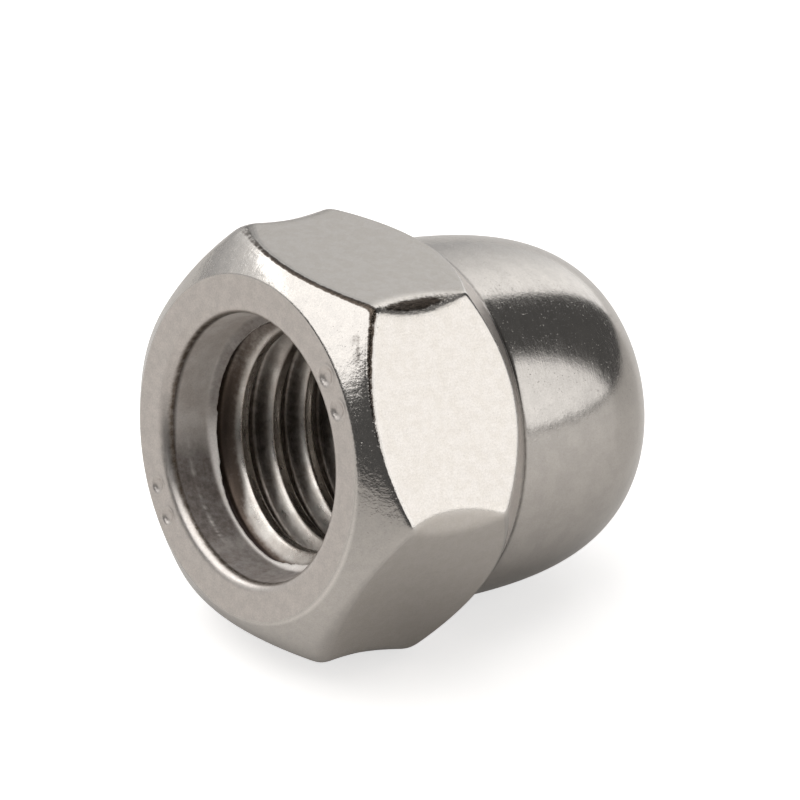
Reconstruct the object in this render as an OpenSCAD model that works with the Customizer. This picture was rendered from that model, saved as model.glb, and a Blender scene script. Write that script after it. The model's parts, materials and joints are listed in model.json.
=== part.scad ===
// Cap nut: a hexagon with a domed crown, and a blind threaded hole with a deep recess at its mouth.
// It is drawn lying on its side as it comes to rest, tipped back on the rear edge of one flat and on its crown.
// The thread is one groove along a helix, so its crests keep the true round of the minor diameter.

/* [Hexagon] */
// Distance across the flats
across_flats = 18.9; // [18.4:0.1:21]
// Height from the bearing face to the foot of the crown
hexagon_height = 10; // [8:0.1:13]
// Outer diameter of the bearing face
face_d = 17.1; // [15:0.1:17.8]
// Angle from the bearing face to the front chamfer, in degrees
front_chamfer_angle = 38; // [25:1:45]
// Angle from the crown's foot to the rear chamfer, in degrees
rear_chamfer_angle = 50; // [30:1:55]
// Depth of the shallow hollow along each corner, at its deepest
corner_hollow = 0.22; // [0.06:0.02:0.3]
// Where the hollow is deepest, as a share of the corner's length from its front end
corner_hollow_place = 0.4; // [0.3:0.05:0.6]

/* [Crown] */
// Height from the bearing face to the tip of the crown
total_height = 20.65; // [19.5:0.05:25]
// Diameter of the crown at its widest
crown_d = 17.8; // [16.4:0.1:18.2]
// Height of the crown's rounded part, from where it leaves the cylinder to its tip
crown_curve_height = 16.4; // [9:0.1:17]
// How square the crown's curve is, where 2 is an ellipse
crown_squareness = 3.9; // [2:0.1:5]

/* [Hole] */
// Major diameter of the thread, at the bottom of its groove
thread_major_d = 12.5; // [12:0.05:13]
// Depth of the thread's groove
thread_depth = 0.8; // [0.5:0.05:1.1]
// Pitch of the thread
thread_pitch = 1.95; // [1.6:0.05:2.5]
// Length of plain hole past the end of the thread
thread_run_out = 1; // [0.5:0.1:3]
// Direction in which the thread starts, in degrees round from the right of the mouth
thread_start_turn = 32; // [0:1:359]
// Depth from the bearing face to the end of the hole's full diameter
hole_depth = 14.6; // [10:0.1:15.5]
// Full angle of the drilled point, in degrees
drill_point_angle = 118; // [90:1:140]
// Diameter of the recess at the mouth
mouth_d = 13.3; // [12.9:0.05:14]
// Radius of the rounded edge around the mouth
mouth_edge_radius = 0.32; // [0.1:0.02:0.5]
// How much wider than the thread the recess is at its inner end
recess_play = 0.15; // [0.05:0.05:0.3]
// Depth of the recess
recess_depth = 2.75; // [1:0.05:5]
// Angle from the recess's inner end to the lead-in of the thread, in degrees
lead_in_angle = 45; // [15:1:60]

/* [Hidden] */
$fn = 96;

steel = [0.72, 0.71, 0.68];
curve_steps = 28;
groove_steps = 24;
groove_clearance = 0.12;
thread_angle = 60;
hollow_steps = 8;
edge_steps = 4;
cut_clearance = 1;

// Half sizes of the hexagon, to a flat and to a corner
apothem = across_flats / 2;
corner_r = apothem / cos(30);
face_r = face_d / 2;
crown_r = crown_d / 2;

// Level where the crown's curve starts, and the radius of the crown at a level
curve_start = total_height - crown_curve_height;
function curve_share(level) = max(0, level - curve_start) / crown_curve_height;
function crown_radius_at(level) =
    crown_r * pow(1 - pow(curve_share(level), crown_squareness), 1 / crown_squareness);
crown_foot_r = crown_radius_at(hexagon_height);

// Levels where the chamfers cut the corners and the middles of the flats
function front_level(radius) = (radius - face_r) * tan(front_chamfer_angle);
function rear_level(radius) = hexagon_height - (radius - crown_foot_r) * tan(rear_chamfer_angle);
corner_front = front_level(corner_r);
corner_rear = rear_level(corner_r);
flat_front = front_level(apothem);
flat_rear = rear_level(apothem);

// Depth of the hollow at a share of the corner's length, a parabola that leans towards its deepest place
hollow_lean = ln(0.5) / ln(corner_hollow_place);
function hollow_depth(share) = corner_hollow * 4 * pow(share, hollow_lean) * (1 - pow(share, hollow_lean));

// Each outline is a list of [radius, level] points from the bearing face upwards.
hollow_outline = [
    for (step = [0:hollow_steps])
        let (share = step / hollow_steps)
        [corner_r - hollow_depth(share), corner_front + share * (corner_rear - corner_front)]
];
envelope_outline = concat([[0, 0], [face_r, 0]], hollow_outline, [[crown_foot_r, hexagon_height], [0, hexagon_height]]);

crown_curve = [
    for (step = [1:curve_steps])
        let (turn = 90 * step / curve_steps)
        [
            crown_r * pow(cos(turn), 2 / crown_squareness),
            curve_start + crown_curve_height * pow(sin(turn), 2 / crown_squareness)
        ]
];
crown_base = min(curve_start, hexagon_height / 2);
crown_outline = concat([[0, crown_base], [crown_r, crown_base]], crown_curve);

// The hole's outline goes from below the mouth to the drilled point.
mouth_r = mouth_d / 2;
thread_major_r = thread_major_d / 2;
thread_minor_r = thread_major_r - thread_depth;
recess_end_r = thread_major_r + recess_play / 2;
lead_in_end = recess_depth + (recess_end_r - thread_minor_r) * tan(lead_in_angle);
drill_tip = hole_depth + thread_minor_r / tan(drill_point_angle / 2);
mouth_edge = [
    for (step = [0:edge_steps])
        let (turn = 270 - 90 * step / edge_steps)
        [mouth_r + mouth_edge_radius * (1 + cos(turn)), mouth_edge_radius * (1 + sin(turn))]
];
hole_outline = concat(
    [[0, -cut_clearance], [mouth_r + mouth_edge_radius, -cut_clearance]],
    mouth_edge,
    [
        [recess_end_r, recess_depth],
        [thread_minor_r, lead_in_end],
        [thread_minor_r, hole_depth],
        [0, drill_tip]
    ]
);

// The groove's section is a V, and its cutter reaches a little inwards past the crests.
groove_flank = tan(thread_angle / 2);
groove_width = thread_depth * groove_flank;
groove_section = [
    [thread_minor_r - groove_clearance, -groove_width - groove_clearance * groove_flank],
    [thread_major_r, 0],
    [thread_minor_r - groove_clearance, groove_width + groove_clearance * groove_flank]
];
groove_start = recess_depth - groove_width;
groove_end = hole_depth - thread_run_out - groove_width;
groove_count = ceil(groove_steps * (groove_end - groove_start) / thread_pitch);

// At rest the nut tips back about the rear edge of its lowest flat until the crown touches the ground.
rest_tilt = min([
    for (point = crown_curve)
        if (point[1] > flat_rear) atan2(apothem - point[0], point[1] - flat_rear)
]);
rest_height = apothem * cos(rest_tilt) + flat_rear * sin(rest_tilt);
nearest_reach = min(-face_r * sin(rest_tilt), flat_front * cos(rest_tilt) - apothem * sin(rest_tilt));
farthest_reach = max([for (point = crown_curve) point[1] * cos(rest_tilt) + point[0] * sin(rest_tilt)]);
rest_centre = (nearest_reach + farthest_reach) / 2;

// A solid turned from an outline
module turned(outline) {
    rotate_extrude() polygon(outline);
}

// The hexagon, with its chamfered ends and the shallow hollow along its corners
module hexagon() {
    intersection() {
        cylinder(r = corner_r, h = hexagon_height, $fn = 6);
        turned(envelope_outline);
    }
}

// The domed crown, which runs down inside the hexagon
module crown() {
    turned(crown_outline);
}

// The thread's groove, a right-hand helix that starts in the recess
module thread_groove() {
    corners = len(groove_section);
    points = [
        for (place = [0:groove_count], corner = groove_section)
            let (
                level = groove_start + place * (groove_end - groove_start) / groove_count,
                turn = thread_start_turn + 360 * (level - groove_start) / thread_pitch
            )
            [corner[0] * cos(turn), corner[0] * sin(turn), level + corner[1]]
    ];
    sides = [
        for (place = [0:groove_count - 1], corner = [0:corners - 1])
            let (
                here = place * corners + corner,
                beside = place * corners + (corner + 1) % corners
            )
            each [[here, beside, here + corners], [beside, beside + corners, here + corners]]
    ];
    first = [for (corner = [corners - 1:-1:0]) corner];
    last = [for (corner = [0:corners - 1]) groove_count * corners + corner];
    polyhedron(points = points, faces = concat(sides, [first, last]));
}

// The blind hole with its recess, thread and drilled point
module threaded_hole() {
    turned(hole_outline);
    thread_groove();
}

// The nut standing on its bearing face
module standing_nut() {
    difference() {
        union() {
            hexagon();
            crown();
        }
        threaded_hole();
    }
}

// The nut at rest, with its mouth raised and facing the front
module cap_nut() {
    color(steel)
        translate([0, -rest_centre, rest_height])
            rotate([-90 - rest_tilt, 0, 0])
                standing_nut();
}

cap_nut();
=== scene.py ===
"""A steel cap nut, lying on one flat of its hexagon and on its crown.

The nut is one closed mesh.  Geometry nodes sweep its half outline round the
axis: the hexagon, its worn corners and the running thread are in the rule
that gives every row its radius.  Lengths are in metres, in the frame of the
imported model, and the rows are laid out in the nut's own frame, with the
mouth at the origin and the crown up +Z.
"""

import json
import logging
import math
from collections.abc import Callable
from dataclasses import dataclass, field, fields
from enum import IntEnum
from types import SimpleNamespace
from typing import Any, ClassVar, Union

import bmesh
import bpy
from mathutils import Matrix, Vector


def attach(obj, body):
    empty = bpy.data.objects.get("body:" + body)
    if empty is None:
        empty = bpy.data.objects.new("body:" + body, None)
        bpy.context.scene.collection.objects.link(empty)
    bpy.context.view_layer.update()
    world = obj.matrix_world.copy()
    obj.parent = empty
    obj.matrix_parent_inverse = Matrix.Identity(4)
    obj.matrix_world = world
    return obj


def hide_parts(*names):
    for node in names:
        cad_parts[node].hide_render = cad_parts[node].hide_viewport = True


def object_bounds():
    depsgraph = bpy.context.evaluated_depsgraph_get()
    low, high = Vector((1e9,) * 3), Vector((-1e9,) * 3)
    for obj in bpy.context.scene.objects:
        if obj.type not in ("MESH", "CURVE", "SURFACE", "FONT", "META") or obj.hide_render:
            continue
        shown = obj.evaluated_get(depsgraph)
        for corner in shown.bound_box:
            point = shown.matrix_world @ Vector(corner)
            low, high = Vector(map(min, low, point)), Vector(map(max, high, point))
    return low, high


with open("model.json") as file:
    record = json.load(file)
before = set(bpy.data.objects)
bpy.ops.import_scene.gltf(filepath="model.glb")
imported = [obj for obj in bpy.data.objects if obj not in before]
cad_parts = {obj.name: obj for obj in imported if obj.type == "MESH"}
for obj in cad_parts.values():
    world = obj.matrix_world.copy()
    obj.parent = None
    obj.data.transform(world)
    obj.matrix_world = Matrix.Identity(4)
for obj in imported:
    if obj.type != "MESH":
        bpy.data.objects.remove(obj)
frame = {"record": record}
CAD_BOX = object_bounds()

log = logging.getLogger("cap_nut")

MM = 0.001
FULL_TURN = 2.0 * math.pi
FLATS = 6
SECTOR = FULL_TURN / FLATS
# Per point: real wear, which raises tears in the bump, and painted light: up to 1 for painted shade, below
# 0 for painted lighter colour.
WEAR_AND_PAINTED_LIGHT = "wear"
ZONE = "zone"

Colour = tuple[float, float, float]
Size = tuple[float, float, float]
Span = tuple[float, float]
Value = Union["Field", float]
Place = tuple[Value, Value]


class Zone(IntEnum):
    """The parts of the surface that have a finish of their own."""

    FLATS = 0
    FACE = 1
    CHAMFERS = 2
    CROWN = 3
    RECESS = 4
    THREAD = 5


def placed(name: str, data: Any) -> bpy.types.Object:
    """Puts a new object into the scene.

    Args:
        name: the object's name.
        data: its mesh, lamp or camera.

    Returns:
        The object.
    """
    added = bpy.data.objects.new(name, data)
    bpy.context.scene.collection.objects.link(added)
    return added


def direction(azimuth: float, elevation: float) -> Vector:
    """Gives a direction from two angles in degrees.

    Args:
        azimuth: 0 behind the nut, 90 on its right and 180 before it.
        elevation: how steeply it rises.

    Returns:
        The direction, one metre long.
    """
    azimuth, elevation = math.radians(azimuth), math.radians(elevation)
    level = math.cos(elevation)
    return Vector((math.sin(azimuth) * level, math.cos(azimuth) * level, math.sin(elevation)))


# ---------------------------------------------------------------- node trees


def arithmetic(operation: str, turned: bool = False) -> Callable[["Field", Value], "Field"]:
    """Makes one of a field's operators.

    Args:
        operation: the operation's name in the Math node.
        turned: whether the other number comes first.

    Returns:
        The method, which combines the field with another number.
    """

    def combine(self: "Field", other: Value) -> "Field":
        """Combines the field with another number."""
        return self.bench.math(operation, *((other, self) if turned else (self, other)))

    return combine


class Field:
    """A number that a node tree works out, combined with plain arithmetic."""

    def __init__(self, bench: "Bench", socket: bpy.types.NodeSocket) -> None:
        """Keeps the socket that gives the number, and the bench it is on."""
        self.bench = bench
        self.socket = socket

    def __abs__(self) -> "Field":
        """Drops the sign."""
        return self.bench.math("ABSOLUTE", self)

    __add__ = arithmetic("ADD")
    __radd__ = arithmetic("ADD", turned=True)
    __sub__ = arithmetic("SUBTRACT")
    __rsub__ = arithmetic("SUBTRACT", turned=True)
    __mul__ = arithmetic("MULTIPLY")
    __rmul__ = arithmetic("MULTIPLY", turned=True)
    __truediv__ = arithmetic("DIVIDE")
    __rtruediv__ = arithmetic("DIVIDE", turned=True)
    __pow__ = arithmetic("POWER")


class Bench:
    """Sets out nodes in one tree and joins them up."""

    def __init__(self, tree: bpy.types.NodeTree) -> None:
        """Starts work on a tree."""
        self.tree = tree

    def put(self, kind: str, inputs: dict[Any, Any] | None = None, **settings: Any) -> bpy.types.Node:
        """Adds a node.

        Args:
            kind: the node's type.
            inputs: what goes into its sockets, by name or number.
            settings: the node's own properties.

        Returns:
            The new node.
        """
        node = self.tree.nodes.new(kind)
        for name, value in settings.items():
            setattr(node, name, value)
        for key, value in (inputs or {}).items():
            self.feed(node.inputs[key], value)
        return node

    def feed(self, socket: bpy.types.NodeSocket, value: Any) -> None:
        """Links a socket to a field or another socket, or sets a plain value.

        Args:
            socket: the input that is fed.
            value: a field, an output socket or a plain value.
        """
        if isinstance(value, Field):
            value = value.socket
        if isinstance(value, bpy.types.NodeSocket):
            self.tree.links.new(value, socket)
        else:
            socket.default_value = value

    def math(self, operation: str, *values: Value, clamp: bool = False) -> Field:
        """Adds one step of arithmetic.

        Args:
            operation: the operation's name in the Math node.
            values: the numbers that it works on.
            clamp: whether the result is held between 0 and 1.

        Returns:
            The result.
        """
        node = self.put("ShaderNodeMath", dict(enumerate(values)), operation=operation, use_clamp=clamp)
        return Field(self, node.outputs[0])

    def least(self, first: Value, second: Value) -> Field:
        """Gives the smaller of two numbers."""
        return self.math("MINIMUM", first, second)

    def most(self, first: Value, second: Value) -> Field:
        """Gives the larger of two numbers."""
        return self.math("MAXIMUM", first, second)

    def blend(self, share: Value, first: Any, second: Any) -> bpy.types.NodeSocket:
        """Mixes two colours.

        Args:
            share: how much of the second there is.
            first: a colour or a colour socket.
            second: a colour or a colour socket.

        Returns:
            The mixed colour.
        """
        return self.put("ShaderNodeMix", {0: share, 6: first, 7: second}, data_type="RGBA").outputs[2]

    def ramp(self, value: Value, low: float, high: float) -> Field:
        """Rises smoothly from 0 to 1.

        Args:
            value: the number that is followed.
            low: where the rise starts.
            high: where it ends.

        Returns:
            The risen share.
        """
        node = self.put(
            "ShaderNodeMapRange",
            {"Value": value, "From Min": low, "From Max": high},
            interpolation_type="SMOOTHSTEP",
        )
        return Field(self, node.outputs["Result"])


class FormBench(Bench):
    """Lays out strips of mesh that are swept round the axis and welded."""

    ROW_PULL: ClassVar[float] = 0.55

    def __init__(self, name: str, columns: int, corner_pull: float) -> None:
        """Starts an empty geometry tree.

        Args:
            name: the tree's name.
            columns: how many columns of faces go round the axis.
            corner_pull: how strongly the columns gather at the corners.
        """
        super().__init__(bpy.data.node_groups.new(name, "GeometryNodeTree"))
        self.columns = columns
        self.values: dict[str, float] = {}
        self.strips: list[bpy.types.NodeSocket] = []
        where = self.put("ShaderNodeSeparateXYZ", {0: self.put("GeometryNodeInputPosition").outputs[0]})
        pulls = self.take_numbers({"corner pull": corner_pull, "row pull": self.ROW_PULL})
        self.turn = self.eased((Field(self, where.outputs["X"]) + 0.5) * FLATS, pulls[0]) * SECTOR
        self.plain_share = Field(self, where.outputs["Y"]) + 0.5
        self.share = self.eased(self.plain_share, pulls[1])

    def eased(self, share: Field, pull: Value) -> Field:
        """Gathers even steps towards whole numbers, where the edges are."""
        return share - self.math("SINE", share * FULL_TURN) * pull / FULL_TURN

    def take_numbers(self, numbers: dict[str, float]) -> list[Field]:
        """Gives the tree named inputs.

        Args:
            numbers: the value that the modifier will set for each input, by the input's name.

        Returns:
            The inputs as fields, in the same order.
        """
        for label, value in numbers.items():
            socket = self.tree.interface.new_socket(label, in_out="INPUT", socket_type="NodeSocketFloat")
            socket.default_value = value
            self.values[socket.identifier] = value
        outputs = self.put("NodeGroupInput").outputs
        return [Field(self, outputs[label]) for label in numbers]

    def take(self, part: Any) -> SimpleNamespace:
        """Gives the tree a named input for each size of a part.

        Args:
            part: a dataclass with its sizes as floats, and counts of rows that the tree has no input for.

        Returns:
            The same sizes as fields, under the same names.
        """
        title = type(part).__name__
        names = [item.name for item in fields(part) if item.type is float]
        labels = {f"{title} {name}".replace("_", " "): getattr(part, name) for name in names}
        return SimpleNamespace(**dict(zip(names, self.take_numbers(labels))))

    def line(self, start: Place, end: Place) -> Place:
        """Runs straight from one place of the outline to another."""
        return tuple(a + (b - a) * self.share for a, b in zip(start, end))

    def bend(self, start: Place, corner: Place, end: Place) -> Place:
        """Rounds a corner of the outline.

        Args:
            start: where the rounding leaves the first side.
            corner: the sharp corner that it cuts.
            end: where it meets the second side.

        Returns:
            The rounded run, along the strip.
        """
        share = self.plain_share
        rest = 1.0 - share
        return tuple(
            rest * rest * a + 2.0 * share * rest * b + share * share * c
            for a, b, c in zip(start, corner, end)
        )

    def strip(self, rows: int, place: Place, zone: Zone, wear: Value = 0.0) -> None:
        """Sweeps one strip of the outline round the axis.

        Args:
            rows: how many rows of faces it has.
            place: its radius and its level.
            zone: the finish it takes.
            wear: how worn it is and how much painted shade it takes, up to 1, and less than 0 where it is
                painted lighter.
        """
        radius, level = place
        grid = self.put(
            "GeometryNodeMeshGrid",
            {"Size X": 1.0, "Size Y": 1.0, "Vertices X": self.columns + 1, "Vertices Y": rows + 1},
        )
        position = self.put(
            "ShaderNodeCombineXYZ",
            {
                "X": radius * self.math("COSINE", self.turn),
                "Y": radius * self.math("SINE", self.turn),
                "Z": level,
            },
        )
        sheet = grid.outputs["Mesh"]
        for name, value, domain in ((WEAR_AND_PAINTED_LIGHT, wear, "POINT"), (ZONE, float(zone), "FACE")):
            sheet = self.put(
                "GeometryNodeStoreNamedAttribute",
                {"Geometry": sheet, "Name": name, "Value": value},
                data_type="FLOAT",
                domain=domain,
            ).outputs[0]
        swept = self.put("GeometryNodeSetPosition", {"Geometry": sheet, "Position": position.outputs[0]})
        self.strips.append(swept.outputs[0])

    def weld(self, gap: float, finishes: dict[Zone, bpy.types.Material]) -> None:
        """Joins the strips into one mesh and ends the tree.

        Args:
            gap: points nearer than this are made one.
            finishes: the material of each zone.
        """
        join = self.put("GeometryNodeJoinGeometry")
        for strip in self.strips:
            self.tree.links.new(strip, join.inputs[0])
        merged = self.put(
            "GeometryNodeMergeByDistance", {"Geometry": join.outputs[0], "Distance": gap}
        ).outputs[0]
        smooth = self.put("GeometryNodeSetShadeSmooth", {"Geometry": merged, "Shade Smooth": True})
        shown = self.put("GeometryNodeRealizeInstances", {"Geometry": smooth.outputs[0]}).outputs[0]
        zone_of = self.put("GeometryNodeInputNamedAttribute", {"Name": ZONE}, data_type="FLOAT")
        for zone, material in finishes.items():
            node = self.put("GeometryNodeSetMaterial", {"Geometry": shown})
            if zone is not Zone.FLATS:
                chosen = self.math("COMPARE", Field(self, zone_of.outputs[0]), float(zone), 0.5)
                self.feed(node.inputs["Selection"], chosen)
            node.inputs["Material"].default_value = material
            shown = node.outputs[0]
        self.tree.interface.new_socket("Geometry", in_out="OUTPUT", socket_type="NodeSocketGeometry")
        self.feed(self.put("NodeGroupOutput").inputs[0], shown)

    def make(self, name: str) -> bpy.types.Mesh:
        """Runs the tree once and gives its result as a plain mesh.

        Args:
            name: the mesh's name.

        Returns:
            The mesh, in the nut's own frame.
        """
        seed = placed(f"{name}_seed", bpy.data.meshes.new(f"{name}_seed"))
        modifier = seed.modifiers.new("form", "NODES")
        modifier.node_group = self.tree
        for identifier, value in self.values.items():
            modifier[identifier] = value
        depsgraph = bpy.context.evaluated_depsgraph_get()
        mesh = bpy.data.meshes.new_from_object(seed.evaluated_get(depsgraph), depsgraph=depsgraph)
        mesh.name = name
        for index in reversed(range(len(mesh.materials))):
            if mesh.materials[index] is None:
                mesh.materials.pop(index=index)
        seed.modifiers.remove(modifier)
        bpy.data.objects.remove(seed)
        return mesh


# ---------------------------------------------------------------- the finishes


def mark_size(across: float, along: float | None = None) -> Size:
    """Gives the size of marks in the steel.

    Args:
        across: their size across the nut's axis, in millimetres.
        along: their size along it, the same where it is left out.

    Returns:
        The size in metres, in the nut's own frame.
    """
    return (across * MM, across * MM, (across if along is None else along) * MM)


@dataclass(frozen=True)
class Relief:
    """One layer of unevenness in a surface, cut off below a level where one is given."""

    size: Size
    height: float
    above: float = 0.0
    detail: float = 1.5
    grit: float = 0.55
    turned: float = 0.0


@dataclass(frozen=True)
class SteelFinish:
    """How one zone of the steel is coloured, polished and marked, and where it takes painted shade and
    painted lighter colour.
    """

    BLOTCH_SPAN: ClassVar[Span] = (0.36, 0.64)
    GLOSS_SPAN: ClassVar[Span] = (0.25, 0.75)
    SOIL_SEED: ClassVar[float] = 3.0
    BLOTCH_SEED: ClassVar[float] = 5.0
    GRAIN_SEED: ClassVar[float] = 7.0
    GLOSS_SEED: ClassVar[float] = 9.0
    TORN_SEED: ClassVar[float] = 31.0
    RELIEF_SEED: ClassVar[float] = 13.0
    SEED_STEP: ClassVar[float] = 7.0
    SEED_AXES: ClassVar[tuple[float, float, float]] = (1.0, 1.7, 0.6)
    TURN_AXES: ClassVar[tuple[float, float, float]] = (1.0, 0.6, 1.0)

    name: str
    colour: Colour
    stain: Colour
    stain_size: float
    smooth: float
    rough: float
    rough_size: Size
    reliefs: tuple[Relief, ...]
    grain: float = 0.0
    grain_size: Size = mark_size(0.09)
    metal: float = 1.0
    soil: Colour | None = None
    soil_span: Span = (0.0, 1.0)
    soil_rag: float = 2.0
    soil_rough: float = 0.0
    rubbed: Colour | None = None
    torn: float = 0.0

    def layer(self, bench: Bench, place: bpy.types.NodeSocket, relief: Relief, seed: float) -> Field:
        """Builds one layer of noise.

        Args:
            bench: the material's tree.
            place: the place on the nut, in its own frame.
            relief: the size and direction of the marks.
            seed: keeps the layers unlike one another.

        Returns:
            The noise, about 0 to 1.
        """
        turned = bench.put(
            "ShaderNodeMapping",
            {
                "Vector": place,
                "Location": tuple(seed * axis for axis in self.SEED_AXES),
                "Rotation": tuple(relief.turned * axis for axis in self.TURN_AXES),
                "Scale": tuple(1.0 / size for size in relief.size),
            },
            vector_type="POINT",
        )
        noise = bench.put(
            "ShaderNodeTexNoise",
            {"Vector": turned.outputs[0], "Scale": 1.0, "Detail": relief.detail, "Roughness": relief.grit},
            noise_dimensions="3D",
        )
        return Field(bench, noise.outputs["Fac"])

    def material(self, mouth: Matrix) -> bpy.types.Material:
        """Builds the material.

        Args:
            mouth: the nut's own frame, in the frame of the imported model.

        Returns:
            The material.
        """
        material = bpy.data.materials.new(self.name)
        material.use_nodes = True
        bench = Bench(material.node_tree)
        shader = material.node_tree.nodes["Principled BSDF"]
        shader.inputs["Metallic"].default_value = self.metal
        own = bench.put(
            "ShaderNodeMapping",
            {
                "Vector": bench.put("ShaderNodeTexCoord").outputs["Object"],
                "Location": mouth.to_translation(),
                "Rotation": mouth.to_euler(),
            },
            vector_type="TEXTURE",
        ).outputs[0]
        blotches = Relief((self.stain_size,) * 3, 1.0, detail=4.0, grit=0.6)
        stained = bench.ramp(self.layer(bench, own, blotches, self.BLOTCH_SEED), *self.BLOTCH_SPAN)
        surface = bench.blend(stained, (*self.colour, 1.0), (*self.stain, 1.0))
        wear = Field(bench, bench.put("ShaderNodeAttribute", attribute_name=WEAR_AND_PAINTED_LIGHT).outputs["Fac"])
        # Up to 1: real wear that raises tears, and painted shade.
        worn = bench.most(wear, 0.0)
        # Painted shade: a dark colour is blended in where the attribute is high, with ragged edges.
        if self.soil:
            edge = self.layer(bench, own, PAINTED_SHADE_EDGE, self.SOIL_SEED) - 0.5
            ragged = worn + edge * worn * self.soil_rag
            surface = bench.blend(bench.ramp(ragged, *self.soil_span), surface, (*self.soil, 1.0))
        # Painted lighter colour where the attribute is below 0: a painted highlight on the face's rim, and
        # the flat end of each front edge lightened to the flats' tone.
        if self.rubbed:
            surface = bench.blend(bench.most(wear * -1.0, 0.0), surface, (*self.rubbed, 1.0))
        grain = self.layer(bench, own, Relief(self.grain_size, 1.0, detail=2.0, grit=0.7), self.GRAIN_SEED)
        level = (grain - 0.5) * (2.0 * self.grain) + 1.0
        grained = bench.put("ShaderNodeVectorMath", {0: surface, "Scale": level}, operation="SCALE")
        bench.feed(shader.inputs["Base Color"], grained.outputs[0])
        gloss = self.layer(bench, own, Relief(self.rough_size, 1.0, detail=3.0), self.GLOSS_SEED)
        roughness = bench.ramp(gloss, *self.GLOSS_SPAN) * (self.rough - self.smooth) + self.smooth
        if self.soil_rough:
            roughness = roughness + worn * self.soil_rough
        bench.feed(shader.inputs["Roughness"], roughness)
        height: Value = 0.0
        for number, relief in enumerate(self.reliefs):
            noise = self.layer(bench, own, relief, self.RELIEF_SEED + self.SEED_STEP * number)
            if relief.above:
                noise = bench.most(noise - relief.above, 0.0)
            height = height + noise * relief.height
        if self.torn:
            height = height + self.layer(bench, own, TEAR, self.TORN_SEED) * worn * self.torn
        bump = bench.put("ShaderNodeBump", {"Height": height, "Distance": 1.0, "Strength": 1.0})
        bench.feed(shader.inputs["Normal"], bump.outputs[0])
        return material


STEEL: Colour = (0.67, 0.632, 0.59)
STEEL_WARM: Colour = (0.64, 0.60, 0.552)
# Dark brown for painted shade on the flats, chamfers and crown.
PAINTED_SHADE_BROWN: Colour = (0.085, 0.068, 0.055)
PAINTED_SHADE_EDGE = Relief(mark_size(0.35), 1.0, detail=3.0, grit=0.7)
TEAR = Relief(mark_size(0.22, 0.30), 1.0, detail=3.0, grit=0.65)

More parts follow.
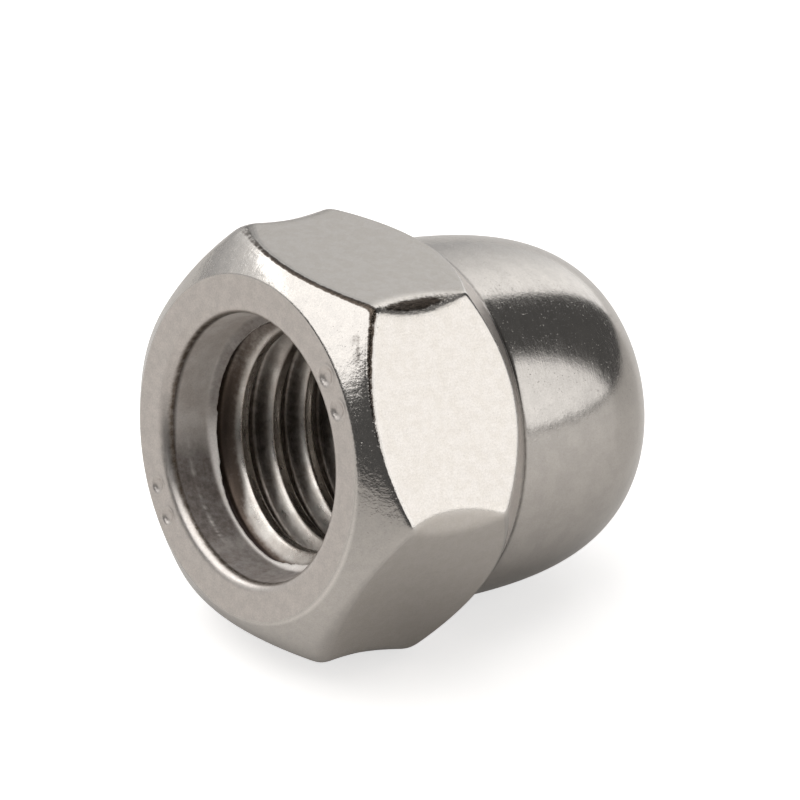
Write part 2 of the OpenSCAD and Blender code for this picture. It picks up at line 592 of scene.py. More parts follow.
FINISHES: dict[Zone, SteelFinish] = {
    Zone.FLATS: SteelFinish(
        name="steel_drawn_flats",
        colour=STEEL,
        stain=STEEL_WARM,
        stain_size=0.5 * MM,
        smooth=0.20,
        rough=0.27,
        rough_size=mark_size(0.10, 1.2),
        reliefs=(
            Relief(mark_size(0.09, 1.8), 0.0009 * MM),
            Relief(mark_size(0.10, 0.12), 0.0018 * MM, detail=2.5),
            Relief(mark_size(1.8), 0.006 * MM),
            Relief(mark_size(0.12), -0.03 * MM, above=0.68),
        ),
        grain=0.16,
        # Painted shade for the dark reflection of the worn corner.
        soil=PAINTED_SHADE_BROWN,
        soil_span=(0.34, 0.60),
        soil_rag=1.2,
        torn=0.090 * MM,
    ),
    Zone.FACE: SteelFinish(
        name="steel_struck_face",
        colour=(0.67, 0.621, 0.58),
        stain=(0.612, 0.569, 0.533),
        stain_size=0.6 * MM,
        smooth=0.30,
        rough=0.40,
        rough_size=mark_size(0.12),
        reliefs=(
            Relief(mark_size(0.11), 0.0045 * MM, detail=3.0),
            Relief(mark_size(0.10), -0.05 * MM, above=0.66),
            Relief(mark_size(1.2), 0.010 * MM),
        ),
        grain=0.22,
        # Painted shade on the lip's rounding.
        soil=(0.20, 0.165, 0.135),
        soil_span=(0.10, 1.0),
    ),
    Zone.CHAMFERS: SteelFinish(
        name="steel_rolled_chamfers",
        colour=(0.587, 0.554, 0.518),
        stain=(0.553, 0.524, 0.492),
        stain_size=0.5 * MM,
        smooth=0.11,
        rough=0.19,
        rough_size=mark_size(0.15),
        reliefs=(
            Relief(mark_size(0.13), 0.0070 * MM, detail=3.0),
            Relief(mark_size(0.6, 0.5), 0.016 * MM),
            Relief(mark_size(0.09, 0.35), -0.06 * MM, above=0.68, turned=0.5),
        ),
        grain=0.16,
        # Painted shade on the chamfers and front edges.
        soil=PAINTED_SHADE_BROWN,
        soil_span=(0.25, 0.70),
        # Bright colour for the painted highlight on the face's rim; it also lightens the flat end of each
        # front edge.
        rubbed=(0.93, 0.88, 0.83),
        torn=0.060 * MM,
    ),
    Zone.CROWN: SteelFinish(
        name="steel_polished_crown",
        colour=(0.555, 0.523, 0.488),
        stain=(0.513, 0.484, 0.452),
        stain_size=0.9 * MM,
        smooth=0.12,
        rough=0.20,
        rough_size=mark_size(0.9, 0.12),
        reliefs=(
            Relief(mark_size(1.4, 0.13), 0.0030 * MM, detail=2.0),
            Relief(mark_size(0.16), 0.0030 * MM, detail=2.0),
            Relief(mark_size(1.6, 1.0), 0.010 * MM),
            Relief(mark_size(0.12), -0.05 * MM, above=0.665),
        ),
        grain=0.14,
        # Painted shade in the crease at the crown's foot.
        soil=PAINTED_SHADE_BROWN,
        soil_rag=1.0,
    ),
    Zone.RECESS: SteelFinish(
        name="steel_bored_recess",
        colour=(0.92, 0.875, 0.83),
        stain=(0.76, 0.70, 0.65),
        stain_size=1.6 * MM,
        smooth=0.45,
        rough=0.65,
        rough_size=mark_size(0.8, 0.3),
        reliefs=(
            Relief(mark_size(1.6, 0.16), 0.0020 * MM),
            Relief(mark_size(0.25), 0.0040 * MM),
        ),
        grain=0.20,
        metal=0.35,
        # Painted shade on the recess wall.
        soil=(0.085, 0.060, 0.052),
        soil_rag=0.6,
    ),
    Zone.THREAD: SteelFinish(
        name="steel_cut_thread",
        colour=(0.74, 0.70, 0.65),
        stain=(0.62, 0.57, 0.52),
        stain_size=0.8 * MM,
        smooth=0.22,
        rough=0.36,
        rough_size=mark_size(0.8, 0.2),
        reliefs=(
            Relief(mark_size(1.6, 0.14), 0.0020 * MM),
            Relief(mark_size(0.2), 0.0030 * MM),
        ),
        grain=0.20,
        # Painted shade in the thread's grooves.
        soil=(0.105, 0.080, 0.065),
        soil_rag=0.7,
        soil_rough=0.15,
    ),
}


# ---------------------------------------------------------------- the nut


@dataclass(frozen=True)
class Crown:
    """The domed end: a cylinder whose side curves over into a blunt dome."""

    rows: int = 60
    diameter: float = 17.8 * MM
    curve_start: float = 4.25 * MM
    curve_height: float = 16.4 * MM
    squareness: float = 3.9
    foot_fillet: float = 0.26 * MM

    def radius(self, bench: FormBench, size: SimpleNamespace, level: Value) -> Field:
        """Gives the crown's radius at a level."""
        rise = (level - size.curve_start) / size.curve_height
        return size.diameter / 2.0 * (1.0 - rise**size.squareness) ** (1.0 / size.squareness)

    def lay(self, bench: FormBench, size: SimpleNamespace, foot: Value) -> None:
        """Lays the crown's strip.

        Args:
            bench: the nut's tree.
            size: the crown's sizes as fields.
            foot: the level at which the strip starts.
        """
        start = bench.math("ARCTAN2", foot - size.curve_start, self.radius(bench, size, foot))
        angle = start + (math.pi / 2.0 - start) * bench.plain_share
        across = bench.most(bench.math("COSINE", angle), 0.0)
        up = bench.math("SINE", angle)
        power = size.squareness
        stretch = (across / (size.diameter / 2.0)) ** power + (up / size.curve_height) ** power
        reach = stretch ** (-1.0 / power)
        bench.strip(self.rows, (reach * across, size.curve_start + reach * up), Zone.CROWN)


@dataclass(frozen=True)
class Patch:
    """A patch that is full near one turn round the nut and fades away on both sides of it."""

    middle: float
    full: float
    gone: float
    strength: float = 1.0

    def share(self, bench: FormBench) -> Field:
        """Gives the patch's strength at the bench's turn, with its own angles in degrees."""
        apart = bench.turn / FULL_TURN - self.middle / 360.0
        off = abs(bench.math("FRACT", apart + 0.5) - 0.5) * 360.0
        return (1.0 - bench.ramp(off, self.full, self.gone)) * self.strength


@dataclass(frozen=True)
class Hexagon:
    """The six flats, the chamfers at both ends and the worn corners."""

    SHARP_CUT: ClassVar[float] = 0.001 * MM
    SIDE_SHARPNESS: ClassVar[float] = 4.0
    # Where one chamfer takes a painted dark reflection, with real tears in the bump.
    SCAR: ClassVar[Patch] = Patch(308.0, 1.6, 8.0, 0.30)
    SCAR_SPAN: ClassVar[Span] = (0.35, 0.85)
    EDGE_SHADE_SPAN: ClassVar[Span] = (0.08, 0.34)
    CLEANED_SPAN: ClassVar[Span] = (0.4, 1.0)

    rim_rows: int = 6
    chamfer_rows: int = 12
    front_edge_rows: int = 10
    flat_rows: int = 26
    rear_edge_rows: int = 6
    rear_chamfer_rows: int = 8
    crease_rows: int = 6
    across_flats: float = 18.9 * MM
    height: float = 10.0 * MM
    face_diameter: float = 17.1 * MM
    front_angle: float = math.radians(38.0)
    rear_angle: float = math.radians(50.0)
    edge_softness: float = 0.12 * MM
    facet_softness: float = 0.20 * MM
    corner_sharpness: float = 4.0
    front_wear: float = 0.03 * MM
    rear_wear: float = 0.02 * MM
    hollow: float = 0.30 * MM
    hollow_place: float = 0.48
    face_fillet: float = 0.05 * MM
    face_rub: float = 0.15 * MM
    face_rub_and_highlight_turn: float = math.radians(20.0)
    # How strongly the rim's rounding takes a painted highlight towards that side.
    face_rubbed: float = 0.6
    front_fillet: float = 0.38 * MM
    front_corner_fillet: float = 0.50 * MM
    rear_fillet: float = 0.03 * MM
    rear_corner_fillet: float = 0.06 * MM
    crisp_turn: float = math.radians(4.0)
    crisp: float = 0.25 * MM
    crisp_focus: float = 4.0
    soft_turn: float = math.radians(38.0)
    soft: float = 0.36 * MM
    soft_focus: float = 4.0
    dropped_turn: float = math.radians(60.0)
    drop: float = 0.60 * MM
    drop_focus: float = 2.0
    knocked_turn: float = math.radians(225.0)
    knock: float = 0.80 * MM
    rear_knock_share: float = 0.6
    # Towards this side the rear edge is rounded further, and the chamfer takes more painted shade.
    rubbed_turn: float = math.radians(352.0)
    rub: float = 0.10 * MM
    scuffed: float = 0.24
    # Where the worn corners take the most painted shade and tears.
    flat_scar_and_shade_turn: float = math.radians(300.0)
    flat_scar_and_shade_focus: float = 3.0
    least_flat_scar_and_shade: float = 0.25
    # Where the front edge takes a line of painted shade, and how far along its rounding.
    edge_shade_turn: float = math.radians(290.0)
    edge_shade_place: float = 0.6
    lightened: float = 0.25
    # Painted shade in the crease at the crown's foot.
    crease_shade: float = 0.7
    chamfer_bulge: float = 0.033

    def radius(self, bench: FormBench, size: SimpleNamespace, cut: Value) -> Field:
        """Gives the hexagon's radius in the direction of the turn.

        Args:
            bench: the nut's tree.
            size: the hexagon's sizes as fields.
            cut: how far the corner is worn back.

        Returns:
            The radius, with the corner rounded.
        """
        off_flat = abs(bench.math("FRACT", bench.turn / SECTOR) - 0.5) * SECTOR
        near = size.across_flats / 2.0 / bench.math("COSINE", off_flat)
        next_flat = size.across_flats / 2.0 / bench.math("COSINE", SECTOR - off_flat)
        corner = bench.math("SMOOTH_MIN", near, next_flat, size.edge_softness)
        facet = size.across_flats / math.sqrt(3.0) - cut
        facet = facet / bench.math("COSINE", SECTOR / 2.0 - off_flat)
        return bench.math("SMOOTH_MIN", corner, facet, size.facet_softness)

    def towards(self, bench: FormBench, turn: Value) -> Field:
        """Gives 1 towards one side of the nut and falls smoothly to 0 away from it."""
        return (0.5 + 0.5 * bench.math("COSINE", bench.turn - turn)) ** self.SIDE_SHARPNESS

    def rim(self, bench: FormBench, size: SimpleNamespace) -> Field:
        """Gives how far the rounding reaches on either side of the flat face's outer edge."""
        return size.face_fillet + size.face_rub * self.towards(bench, size.face_rub_and_highlight_turn)

    def fillets(self, bench: FormBench, size: SimpleNamespace) -> tuple[Field, Field]:
        """Gives how far the flats' edges are rounded.

        Args:
            bench: the nut's tree.
            size: the hexagon's sizes as fields.

        Returns:
            The reach of the rounding at the front edge, and at the rear edge.
        """
        off_flat = abs(bench.math("FRACT", bench.turn / SECTOR) - 0.5) * 2.0
        at_corner = off_flat**size.corner_sharpness
        knock = size.knock * self.towards(bench, size.knocked_turn) * at_corner
        rub = size.rub * self.towards(bench, size.rubbed_turn)
        soft = size.soft * self.towards(bench, size.soft_turn) ** size.soft_focus
        crisp = size.crisp * self.towards(bench, size.crisp_turn) ** size.crisp_focus
        drop = size.drop * self.towards(bench, size.dropped_turn) ** size.drop_focus * at_corner
        front = size.front_fillet + (size.front_corner_fillet - size.front_fillet) * at_corner
        rear = size.rear_fillet + (size.rear_corner_fillet - size.rear_fillet) * at_corner
        return front + knock + soft - crisp, rear + knock * size.rear_knock_share + rub + drop

    def lay(
        self, bench: FormBench, size: SimpleNamespace, crown: Crown, crown_size: SimpleNamespace
    ) -> None:
        """Lays the strips from the flat face to the foot of the crown.

        Args:
            bench: the nut's tree.
            size: the hexagon's sizes as fields.
            crown: the crown behind the hexagon.
            crown_size: the crown's sizes as fields.
        """
        face_radius = size.face_diameter / 2.0
        foot_radius = crown.radius(bench, crown_size, size.height)
        front_run = bench.math("COSINE", size.front_angle)
        front_rise = bench.math("SINE", size.front_angle)
        rear_run = bench.math("COSINE", size.rear_angle)
        rear_rise = bench.math("SINE", size.rear_angle)
        front_fillet, rear_fillet = self.fillets(bench, size)
        off_middle = abs(bench.plain_share * 2.0 - 1.0)

        edge = (face_radius, 0.0 * face_radius)
        rim = self.rim(bench, size)
        chamfer_start = (face_radius + rim * front_run, rim * front_rise)
        # Painted highlight on the rounded rim of the flat face, strongest towards one side and in the
        # middle of the rounding.
        rubbed = self.towards(bench, size.face_rub_and_highlight_turn) * (off_middle - 1.0) * size.face_rubbed
        rounded = bench.bend((face_radius - rim, edge[1]), edge, chamfer_start)
        bench.strip(self.rim_rows, rounded, Zone.CHAMFERS, wear=rubbed)

        front_radius = self.radius(bench, size, size.front_wear)
        front_level = (front_radius - face_radius) * front_rise / front_run
        chamfer_end = (front_radius - front_fillet * front_run, front_level - front_fillet * front_rise)
        run = chamfer_end[0] - chamfer_start[0]
        rise = chamfer_end[1] - chamfer_start[1]
        crest = (
            (chamfer_start[0] + chamfer_end[0]) / 2.0 + rise * size.chamfer_bulge,
            (chamfer_start[1] + chamfer_end[1]) / 2.0 - run * size.chamfer_bulge,
        )
        # The chamfer's wear: real tears in the bump, and painted shade standing in for a dark reflection,
        # strongest towards one side and at one scar.
        chamfer_scar_and_shade = self.SCAR.share(bench) * bench.ramp(bench.plain_share, *self.SCAR_SPAN)
        scuffed = size.scuffed * self.towards(bench, size.rubbed_turn) + chamfer_scar_and_shade
        chamfer = bench.bend(chamfer_start, crest, chamfer_end)
        bench.strip(self.chamfer_rows, chamfer, Zone.CHAMFERS, wear=scuffed)

        rear_radius = self.radius(bench, size, size.rear_wear)
        rear_level = size.height - (rear_radius - foot_radius) * rear_rise / rear_run
        first = front_level + front_fillet
        last = rear_level - rear_fillet
        corner_radius = size.across_flats / math.sqrt(3.0)
        corner_front = (corner_radius - face_radius) * front_rise / front_run
        corner_rear = size.height - (corner_radius - foot_radius) * rear_rise / rear_run
        hollow_lean = math.log(0.5) / bench.math("LOGARITHM", size.hollow_place, math.e)

        def side(level: Field) -> Field:
            """Gives the worn radius of the side at a level."""
            share = (level - corner_front) / (corner_rear - corner_front)
            share = bench.math("ADD", share, 0.0, clamp=True)
            placed = share**hollow_lean
            cut = size.front_wear + (size.rear_wear - size.front_wear) * share
            return self.radius(bench, size, cut + size.hollow * 4.0 * placed * (1.0 - placed))

        # Painted shade: a dark line along the middle of the front edge's rounding towards one side,
        # standing in for its dark reflection; the flat end of the edge is painted lighter, to the flats'
        # tone.
        edge_shade = 1.0 - bench.ramp(abs(bench.plain_share - size.edge_shade_place), *self.EDGE_SHADE_SPAN)
        edge_shade = edge_shade * self.towards(bench, size.edge_shade_turn)
        lightened = size.lightened * bench.ramp(bench.plain_share, *self.CLEANED_SPAN)
        front_edge = bench.bend(chamfer_end, (front_radius, front_level), (side(first), first))
        bench.strip(self.front_edge_rows, front_edge, Zone.CHAMFERS, wear=edge_shade - lightened)

        level = first + (last - first) * bench.share
        radius = side(level)
        cut_back = (self.radius(bench, size, self.SHARP_CUT) - radius) / size.hollow
        # The cut-back corners: real tears in the bump, and painted shade for the dark reflection of the
        # torn metal, strongest towards one corner.
        flat_scar_and_shade = self.towards(bench, size.flat_scar_and_shade_turn) ** size.flat_scar_and_shade_focus
        flat_scar_and_shade = size.least_flat_scar_and_shade + (1.0 - size.least_flat_scar_and_shade) * flat_scar_and_shade
        bench.strip(self.flat_rows, (radius, level), Zone.FLATS, wear=cut_back * flat_scar_and_shade)

        rear_start = (rear_radius - rear_fillet * rear_run, rear_level + rear_fillet * rear_rise)
        rear_edge = bench.bend((side(last), last), (rear_radius, rear_level), rear_start)
        bench.strip(self.rear_edge_rows, rear_edge, Zone.CHAMFERS)
        foot_fillet = crown_size.foot_fillet
        rear_end = (foot_radius + foot_fillet * rear_run, size.height - foot_fillet * rear_rise)
        bench.strip(self.rear_chamfer_rows, bench.line(rear_start, rear_end), Zone.FACE)

        above = size.height + foot_fillet
        crown_side = (crown.radius(bench, crown_size, above), above)
        crease = bench.bend(rear_end, (foot_radius, size.height), crown_side)
        # Painted shade in the crease between the rear chamfer and the crown, strongest in the middle of
        # the bend.
        shade_amount = size.crease_shade - size.crease_shade * off_middle
        bench.strip(self.crease_rows, crease, Zone.CROWN, wear=shade_amount)


@dataclass(frozen=True)
class ThreadedHole:
    """The recess, the running thread and the blind end of the hole."""

    # Patches round the hole that set where the painted shade is heavier or lighter.
    UPPER: ClassVar[Patch] = Patch(270.0, 58.0, 98.0)
    TORN: ClassVar[Patch] = Patch(112.0, 18.0, 42.0)
    LIT: ClassVar[Patch] = Patch(95.0, 22.0, 42.0, 0.5)
    LAIN: ClassVar[Patch] = Patch(132.0, 15.0, 44.0)
    WET: ClassVar[Patch] = Patch(85.0, 16.0, 50.0, 0.62)
    SHADED: ClassVar[Patch] = Patch(270.0, 93.0, 116.0, 0.6)
    BURR_SPACING: ClassVar[float] = 0.45 * MM
    ENTRY_SPACING: ClassVar[float] = 0.30 * MM
    DOT_SPACING: ClassVar[float] = 0.22 * MM
    ENTRY_SPAN: ClassVar[Span] = (0.45, 1.15)
    DARK_SPAN: ClassVar[Span] = (-0.25, 0.30)
    PAST_FIRST: ClassVar[Span] = (4.0 * MM, 4.9 * MM)
    DEEP: ClassVar[Span] = (4.6 * MM, 5.6 * MM)
    CUT_SPAN: ClassVar[Span] = (-0.02 * MM, 0.08 * MM)
    DOT_SPAN: ClassVar[Span] = (-0.2, 0.4)
    MARK_SPAN: ClassVar[Span] = (0.03 * MM, 0.13 * MM)
    INSIDE_SPAN: ClassVar[Span] = (0.93, 1.06)
    PAST_RIDGE_SPAN: ClassVar[Span] = (0.91, 1.04)
    LIP_SPAN: ClassVar[Span] = (0.0, 0.55)

    point_rows: int = 8
    end_rows: int = 4
    rows_per_pitch: int = 22
    recess_rows: int = 38
    lip_rows: int = 10
    face_rows: int = 14
    minor_diameter: float = 10.9 * MM
    pitch: float = 1.95 * MM
    groove_depth: float = 0.87 * MM
    crest_share: float = 0.125
    flank_slope: float = math.sqrt(3.0)
    crest_place: float = 3.12 * MM
    thread_end: float = 13.6 * MM
    hole_depth: float = 14.6 * MM
    point_angle: float = math.radians(118.0)
    mouth_diameter: float = 13.3 * MM
    mouth_fillet: float = 0.50 * MM
    recess_end_diameter: float = 12.65 * MM
    recess_depth: float = 2.45 * MM
    lead_in_angle: float = math.radians(42.0)
    sheared_from: float = 2.82 * MM
    edge_softness: float = 0.08 * MM
    ridge_softness: float = 0.20 * MM
    crest_softness: float = 0.17 * MM
    root_softness: float = 0.30 * MM
    burr: float = 0.10 * MM
    burr_reach: float = 0.30 * MM
    burr_place: float = 0.8
    entry_rag: float = 0.07 * MM
    torn_in: float = 0.20 * MM
    lit_from: float = 0.2
    # Painted shade in the thread: how much less there is, and how much is kept deep down.
    upper_less_shade: float = 0.25
    past_first_less_shade: float = 0.30
    past_first_less_shade_upper: float = 0.10
    deep_shade: float = 0.08
    deep_shade_upper: float = 0.37
    # Painted shade at the lip and on the recess wall, with a ring of lighter dots through it.
    lip_shade_strength: float = 0.75
    lip_shade: float = 0.35 * MM
    lower_left_shade_strength: float = 0.70
    tool_mark: float = 0.80 * MM
    mark_less_shade: float = 0.5

    def ragged(self, bench: FormBench, size: SimpleNamespace, spacing: float) -> Field:
        """Gives an unevenness that runs round the hole, from -1 to 1."""
        across = size.recess_end_diameter / 2.0 / spacing
        place = bench.put(
            "ShaderNodeCombineXYZ",
            {
                "X": across * bench.math("COSINE", bench.turn),
                "Y": across * bench.math("SINE", bench.turn),
            },
        )
        noise = bench.put(
            "ShaderNodeTexNoise",
            {"Vector": place.outputs[0], "Scale": 1.0, "Detail": 2.0, "Roughness": 0.6},
            noise_dimensions="3D",
        )
        return (Field(bench, noise.outputs["Fac"]) - 0.5) * 2.0

    def wall(self, bench: FormBench, size: SimpleNamespace, level: Value) -> tuple[Field, Field]:
        """Gives the hole's radius at a level, with the running thread.

        Args:
            bench: the nut's tree.
            size: the hole's sizes as fields.
            level: the depth below the mouth.

        Returns:
            The radius, and how much painted shade the thread's groove takes.
        """
        mouth = size.mouth_diameter / 2.0
        inner = size.recess_end_diameter / 2.0
        recess = mouth + (inner - mouth) * level / size.recess_depth
        lead_in = inner - (level - size.recess_depth) / bench.math("TANGENT", size.lead_in_angle)
        ridge = size.recess_depth + size.burr_reach * size.burr_place
        near_end = 1.0 - bench.ramp(abs(level - ridge) / size.burr_reach, 0.0, 1.0)
        burr = (self.ragged(bench, size, self.BURR_SPACING) + 0.5) * size.burr * near_end
        opened = bench.math("SMOOTH_MIN", recess, lead_in, size.ridge_softness) - burr

        turns = (level - size.crest_place) / size.pitch - bench.turn / FULL_TURN
        off_crest = abs(bench.math("FRACT", turns + 0.5) - 0.5) * size.pitch
        flank = (off_crest - size.pitch * size.crest_share) * size.flank_slope
        eased = bench.math("SMOOTH_MAX", flank, 0.0 * flank, size.crest_softness)
        groove = bench.math("SMOOTH_MIN", eased, size.groove_depth, size.root_softness)
        fade = bench.math("MULTIPLY", (size.thread_end - level) / size.pitch, 1.0, clamp=True)
        torn_in = size.torn_in * self.TORN.share(bench)
        entry = size.recess_depth + self.ragged(bench, size, self.ENTRY_SPACING) * size.entry_rag - torn_in
        opening = bench.ramp((level - entry) / size.burr_reach, *self.ENTRY_SPAN)
        thread = size.minor_diameter / 2.0 + groove * fade * opening
        radius = bench.math("SMOOTH_MAX", opened, thread, size.edge_softness)

        # Painted shade in the groove: dark from the crest down to the root, lighter on the lower side
        # where the light falls, less in the first groove on the upper side, and a floor of shade in the
        # deeper grooves that is heavier on the upper side.
        upper = self.UPPER.share(bench)
        lit_from = size.lit_from + self.LIT.share(bench)
        dark = bench.ramp(groove / size.groove_depth - lit_from, *self.DARK_SPAN)
        lightened = size.past_first_less_shade + size.past_first_less_shade_upper * upper
        kept = 1.0 - lightened * bench.ramp(level, *self.PAST_FIRST) - size.upper_less_shade * upper
        deep = (size.deep_shade + size.deep_shade_upper * upper) * bench.ramp(level, *self.DEEP)
        return radius, bench.most(dark * kept, deep) * bench.ramp(thread - opened, *self.CUT_SPAN)

    def recess_shade(self, bench: FormBench, size: SimpleNamespace, level: Value) -> Field:
        """Gives how much painted shade the recess takes.

        Args:
            bench: the nut's tree.
            size: the hole's sizes as fields.
            level: the depth below the mouth.

        Returns:
            The share: high just inside the lip, on the lower left and on the low side of the wall, and
                past the ridge on the upper side.
        """
        # Painted shade: just inside the lip, on the lower left of the wall with a ring of lighter dots
        # through it, on the low side, and past the ridge on the upper side.
        past_lip = bench.ramp((level - size.mouth_fillet) / size.lip_shade, 0.0, 1.0)
        at_lip = size.lip_shade_strength - size.lip_shade_strength * past_lip
        off_mark = abs(level - size.mouth_fillet - size.tool_mark)
        dots = bench.ramp(self.ragged(bench, size, self.DOT_SPACING), *self.DOT_SPAN)
        mark = (1.0 - bench.ramp(off_mark, *self.MARK_SPAN)) * dots
        lower_left_shade_share = self.LAIN.share(bench) * (size.lower_left_shade_strength - size.mark_less_shade * mark)
        inside = 1.0 - bench.ramp(level / size.recess_depth, *self.INSIDE_SPAN)
        wall = bench.most(lower_left_shade_share, self.WET.share(bench)) * inside
        past_ridge = bench.ramp(level / size.recess_depth, *self.PAST_RIDGE_SPAN)
        return bench.most(bench.most(at_lip, wall), past_ridge * self.SHADED.share(bench))

    def lay(self, bench: FormBench, size: SimpleNamespace, face_edge: Value) -> None:
        """Lays the strips from the drill point to the flat face's outer edge.

        Args:
            bench: the nut's tree.
            size: the hole's sizes as fields.
            face_edge: the radius at which the flat face ends.
        """
        minor = size.minor_diameter / 2.0
        tip = size.hole_depth + minor / bench.math("TANGENT", size.point_angle / 2.0)
        bottom = (minor, size.hole_depth)
        bench.strip(self.point_rows, bench.line((0.0 * minor, tip), bottom), Zone.THREAD)
        bench.strip(self.end_rows, bench.line(bottom, (minor, size.thread_end)), Zone.THREAD)

        pitches = math.ceil(1.0 + (self.thread_end - self.sheared_from) / self.pitch)
        run = size.thread_end + size.pitch * bench.turn / FULL_TURN
        down = run - bench.plain_share * (size.pitch * pitches)
        level = bench.most(bench.least(down, size.thread_end), size.sheared_from)
        wall, soil = self.wall(bench, size, level)
        bench.strip(self.rows_per_pitch * pitches, (wall, level), Zone.THREAD, wear=soil)

        lip = size.mouth_fillet
        level = size.sheared_from + (lip - size.sheared_from) * bench.share
        wall, soil = self.wall(bench, size, level)
        # The recess takes the thread's painted shade and its own.
        soil = bench.most(soil, self.recess_shade(bench, size, level))
        bench.strip(self.recess_rows, (wall, level), Zone.RECESS, wear=soil)

        start = (self.wall(bench, size, lip)[0], lip)
        corner = (size.mouth_diameter / 2.0, 0.0 * lip)
        face_start = (size.mouth_diameter / 2.0 + lip, 0.0 * lip)
        # Painted shade on the lip's rounding, darkest at its inner end.
        shade_amount = size.lip_shade_strength - size.lip_shade_strength * bench.ramp(bench.plain_share, *self.LIP_SPAN)
        bench.strip(self.lip_rows, bench.bend(start, corner, face_start), Zone.FACE, wear=shade_amount)
        bench.strip(self.face_rows, bench.line(face_start, (face_edge, 0.0 * lip)), Zone.FACE)


@dataclass(frozen=True)
class PunchMark:
    """One shallow round dent in the flat face, with a raised rim."""

    RIM_PLACE: ClassVar[float] = 1.15
    RIM_WIDTH: ClassVar[float] = 0.16
    RIM_HEIGHT: ClassVar[float] = 0.2

    angle: float
    radius: float
    width: float
    depth: float

    def centre(self) -> Vector:
        """Gives the middle of the dent on the face."""
        return Vector((math.cos(self.angle), math.sin(self.angle), 0.0)) * self.radius

    def sink(self, place: Vector) -> float:
        """Gives how far the face is pressed in.

        Args:
            place: a place on the face.

        Returns:
            The depth, less than zero on the raised rim.
        """
        away = place - self.centre()
        off = math.hypot(away.x, away.y) / (self.width / 2.0)
        dish = max(0.0, 1.0 - off**4) ** 2
        rim = math.exp(-(((off - self.RIM_PLACE) / self.RIM_WIDTH) ** 2))
        return self.depth * (dish - self.RIM_HEIGHT * rim)


@dataclass
class CapNut:
    """The whole nut, one closed mesh of steel."""

    FACE_LEVEL: ClassVar[float] = 0.0005 * MM
    FINE_REACH: ClassVar[float] = 0.975
    FINE_CUTS: ClassVar[int] = 3

    name: str = "cap_nut_steel"
    columns: int = 240
    corner_pull: float = 0.6
    weld_gap: float = 0.001 * MM
    hexagon: Hexagon = field(default_factory=Hexagon)
    crown: Crown = field(default_factory=Crown)
    hole: ThreadedHole = field(default_factory=ThreadedHole)
    marks: tuple[PunchMark, ...] = (
        PunchMark(math.radians(-37.0), 7.75 * MM, 1.00 * MM, 0.12 * MM),
        PunchMark(math.radians(-50.0), 7.75 * MM, 1.00 * MM, 0.12 * MM),
        PunchMark(math.radians(-216.0), 7.75 * MM, 0.80 * MM, 0.10 * MM),
        PunchMark(math.radians(-228.0), 7.75 * MM, 0.80 * MM, 0.10 * MM),
    )

    def mouth(self) -> Matrix:
        """Gives the nut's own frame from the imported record's bearing face."""
        mounts = {mount["name"]: mount for mount in frame["record"]["mounts"]}
        face = mounts["bearing_face"]
        up = -Vector(face["axis"]).normalized()
        side = Vector((1.0, 0.0, 0.0))
        turned = Matrix((side, up.cross(side), up)).transposed().to_4x4()
        centre = Vector(face["pos_m"])
        centre.x = 0.0
        return Matrix.Translation(centre) @ turned

    def form(self, finishes: dict[Zone, bpy.types.Material]) -> bpy.types.Mesh:
        """Sweeps the nut's surface.

        Args:
            finishes: the material of each zone.

        Returns:
            The closed mesh, in the nut's own frame.
        """
        bench = FormBench("cap_nut_form", self.columns, self.corner_pull)
        hexagon, crown, hole = (bench.take(part) for part in (self.hexagon, self.crown, self.hole))
        self.hole.lay(bench, hole, hexagon.face_diameter / 2.0 - self.hexagon.rim(bench, hexagon))
        self.hexagon.lay(bench, hexagon, self.crown, crown)
        self.crown.lay(bench, crown, hexagon.height + crown.foot_fillet)
        bench.weld(self.weld_gap, finishes)
        return bench.make(self.name)

    def punch(self, mesh: bpy.types.Mesh) -> None:
        """Presses the marks into the flat face.

        Args:
            mesh: the nut, in its own frame.
        """
        work = bmesh.new()
        work.from_mesh(mesh)
        near = []
        for edge in work.edges:
            ends = [vertex.co for vertex in edge.verts]
            if any(abs(end.z) > self.FACE_LEVEL for end in ends):
                continue
            middle = (ends[0] + ends[1]) / 2.0
            if any((middle - mark.centre()).length < self.FINE_REACH * mark.width for mark in self.marks):
                near.append(edge)
        bmesh.ops.subdivide_edges(work, edges=near, cuts=self.FINE_CUTS, use_grid_fill=True)
        for vertex in work.verts:
            if abs(vertex.co.z) < self.FACE_LEVEL:
                vertex.co.z += sum(mark.sink(vertex.co) for mark in self.marks)
        work.to_mesh(mesh)
        work.free()

    def check(self, mesh: bpy.types.Mesh) -> None:
        """Reports whether the mesh is closed and faces outwards."""
        work = bmesh.new()
        work.from_mesh(mesh)
        open_edges = sum(1 for edge in work.edges if len(edge.link_faces) != 2)
        triangles = sum(len(face.verts) - 2 for face in work.faces)
        volume = work.calc_volume(signed=True) / MM**3
        work.free()
        log.info("%s: %d triangles, %d open edges, %.1f mm3", self.name, triangles, open_edges, volume)

    def build(self) -> bpy.types.Object:
        """Builds the nut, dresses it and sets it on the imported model's place.

        Returns:
            The finished piece.
        """
        mouth = self.mouth()
        finishes = {zone: finish.material(mouth) for zone, finish in FINISHES.items()}
        mesh = self.form(finishes)
        self.punch(mesh)
        mesh.transform(mouth)
        self.check(mesh)
        piece = placed(self.name, mesh)
        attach(piece, "root")
        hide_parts("cap_nut")
        return piece


# ---------------------------------------------------------------- the studio


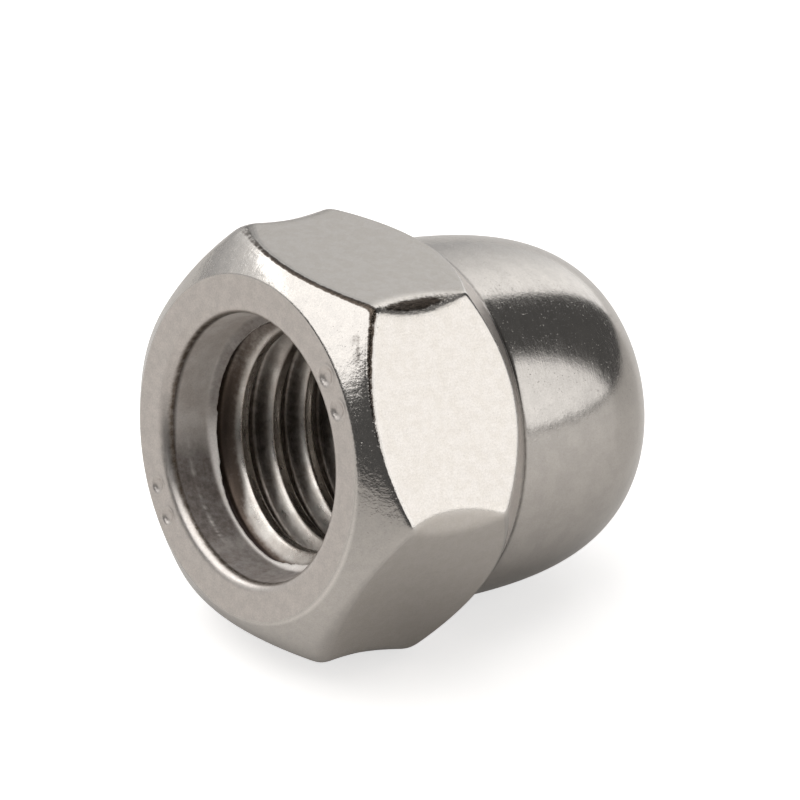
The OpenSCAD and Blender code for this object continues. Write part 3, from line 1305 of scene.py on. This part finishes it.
@dataclass(frozen=True)
class Softbox:
    """A rectangular lamp that faces the nut."""

    name: str
    azimuth: float
    elevation: float
    distance: float
    width: float
    height: float
    radiance: float
    left_share: float = 1.0
    low_share: float = 1.0
    slant: float = 0.0
    slant_edge: float = 0.05

    def shade(self, lamp: bpy.types.Light) -> None:
        """Lets the light fall off towards its left or its foot, and flags its left side along a slant.

        Args:
            lamp: the lamp's light.
        """
        lamp.use_nodes = True
        bench = Bench(lamp.node_tree)
        on_lamp = bench.put("ShaderNodeNewGeometry").outputs["Parametric"]
        place = bench.put("ShaderNodeSeparateXYZ", {0: on_lamp})
        leftward, upward = Field(bench, place.outputs["X"]), Field(bench, place.outputs["Y"])
        strength = bench.ramp(leftward, 0.0, 1.0) * (self.left_share - 1.0) + 1.0
        strength = strength * (bench.ramp(upward, 0.0, 1.0) * (1.0 - self.low_share) + self.low_share)
        if self.slant:
            flagged = leftward + upward * self.slant
            strength = strength * (1.0 - bench.ramp(flagged, 1.0 - self.slant_edge, 1.0 + self.slant_edge))
        bench.feed(lamp.node_tree.nodes["Emission"].inputs["Strength"], strength)

    def build(self, target: Vector) -> None:
        """Hangs the lamp.

        Args:
            target: the point that it faces.
        """
        lamp = bpy.data.lights.new(self.name, "AREA")
        lamp.shape = "RECTANGLE"
        lamp.size = self.width
        lamp.size_y = self.height
        lamp.energy = self.radiance * math.pi * self.width * self.height
        if (self.left_share, self.low_share, self.slant) != (1.0, 1.0, 0.0):
            self.shade(lamp)
        away = direction(self.azimuth, self.elevation)
        lamp_object = placed(self.name, lamp)
        lamp_object.location = target + away * self.distance
        lamp_object.rotation_mode = "QUATERNION"
        lamp_object.rotation_quaternion = away.to_track_quat("Z", "Y")
        lamp_object.visible_camera = False


@dataclass
class Studio:
    """The pale floor, the white surround and the softboxes."""

    floor_reach: float = 4.0
    floor_colour: Colour = (0.63, 0.61, 0.59)
    floor_roughness: float = 0.38
    floor_glow_seen: float = 0.66
    floor_glow_reflected: float = 0.04
    surround: float = 0.10
    softboxes: tuple[Softbox, ...] = (
        Softbox("softbox_back_left", -41.5, 23.0, 0.55, 0.48, 0.52, 1.36, left_share=0.12),
        Softbox("softbox_left", -104.0, 17.0, 0.60, 0.90, 0.46, 1.10, low_share=0.30),
        Softbox("softbox_back_right", 51.0, 19.4, 0.55, 0.68, 0.36, 1.64, left_share=0.64, slant=0.24),
        Softbox("softbox_overhead", -142.0, 66.0, 0.60, 1.00, 0.80, 1.60),
        Softbox("softbox_fill", 40.0, 74.0, 0.60, 0.30, 0.30, 2.20),
    )

    def floor(self) -> bpy.types.Object:
        """Lays the floor, which keeps the nut's shadow.

        Returns:
            The floor.
        """
        mesh = bpy.data.meshes.new("floor")
        reach = self.floor_reach
        corners = [(-reach, -reach, 0.0), (reach, -reach, 0.0), (reach, reach, 0.0), (-reach, reach, 0.0)]
        mesh.from_pydata(corners, [], [(0, 1, 2, 3)])
        floor = placed("floor", mesh)
        material = bpy.data.materials.new("floor_paper")
        material.use_nodes = True
        bench = Bench(material.node_tree)
        paper = material.node_tree.nodes["Principled BSDF"]
        paper.inputs["Base Color"].default_value = (*self.floor_colour, 1.0)
        paper.inputs["Roughness"].default_value = self.floor_roughness
        rays = bench.put("ShaderNodeLightPath").outputs
        seen = Field(bench, rays["Is Camera Ray"]) * self.floor_glow_seen
        reflected = bench.most(
            Field(bench, rays["Is Glossy Ray"]), Field(bench, rays["Is Transmission Ray"])
        )
        glow = bench.put("ShaderNodeEmission", {"Strength": seen + reflected * self.floor_glow_reflected})
        both = bench.put("ShaderNodeAddShader", {0: paper.outputs[0], 1: glow.outputs[0]})
        bench.feed(material.node_tree.nodes["Material Output"].inputs["Surface"], both.outputs[0])
        mesh.materials.append(material)
        return floor

    def world(self) -> None:
        """Makes the surround: white where it is seen, dim in the steel."""
        world = bpy.data.worlds.new("studio")
        world.use_nodes = True
        bench = Bench(world.node_tree)
        seen = Field(bench, bench.put("ShaderNodeLightPath").outputs["Is Camera Ray"])
        level = self.surround + seen * (1.0 - self.surround)
        bench.feed(world.node_tree.nodes["Background"].inputs["Strength"], level)
        world.node_tree.nodes["Background"].inputs["Color"].default_value = (1.0, 1.0, 1.0, 1.0)
        bpy.context.scene.world = world

    def build(self, target: Vector) -> None:
        """Sets up the floor, the surround and the lamps.

        Args:
            target: the middle of the nut.
        """
        self.floor()
        self.world()
        for softbox in self.softboxes:
            softbox.build(target)
            log.info("%s: radiance %.2f", softbox.name, softbox.radiance)


@dataclass(frozen=True)
class Viewpoint:
    """The camera: a long lens, a little above the nut, before its mouth."""

    azimuth: float = 126.672
    elevation: float = 28.927
    roll: float = -0.335
    distance: float = 1.29122
    lens: float = 1200.0
    sensor: float = 36.0
    aim_offset: tuple[float, float, float] = (-0.357 * MM, -0.229 * MM, 0.270 * MM)

    def build(self, centre: Vector) -> None:
        """Places the camera.

        Args:
            centre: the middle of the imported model's box.
        """
        camera = bpy.data.cameras.new("camera")
        camera.lens = self.lens
        camera.sensor_width = self.sensor
        camera.clip_start = self.distance / 10.0
        camera.clip_end = self.distance * 10.0
        back = direction(self.azimuth, self.elevation)
        right = Vector((-back.y, back.x, 0.0)).normalized()
        turned = Matrix((right, back.cross(right), back)).transposed()
        rolled = turned @ Matrix.Rotation(math.radians(self.roll), 3, "Z")
        aim = centre + Vector(self.aim_offset)
        camera_object = placed("camera", camera)
        camera_object.matrix_world = Matrix.Translation(aim + back * self.distance) @ rolled.to_4x4()
        bpy.context.scene.camera = camera_object


def main() -> None:
    """Builds the nut and its studio."""
    logging.basicConfig(level=logging.INFO, format="%(name)s: %(message)s")
    bpy.context.scene.view_settings.view_transform = "Standard"
    low, high = CAD_BOX
    centre = (low + high) / 2.0
    Viewpoint().build(centre)
    CapNut().build()
    Studio().build(centre)


if __name__ == "__main__":
    main()
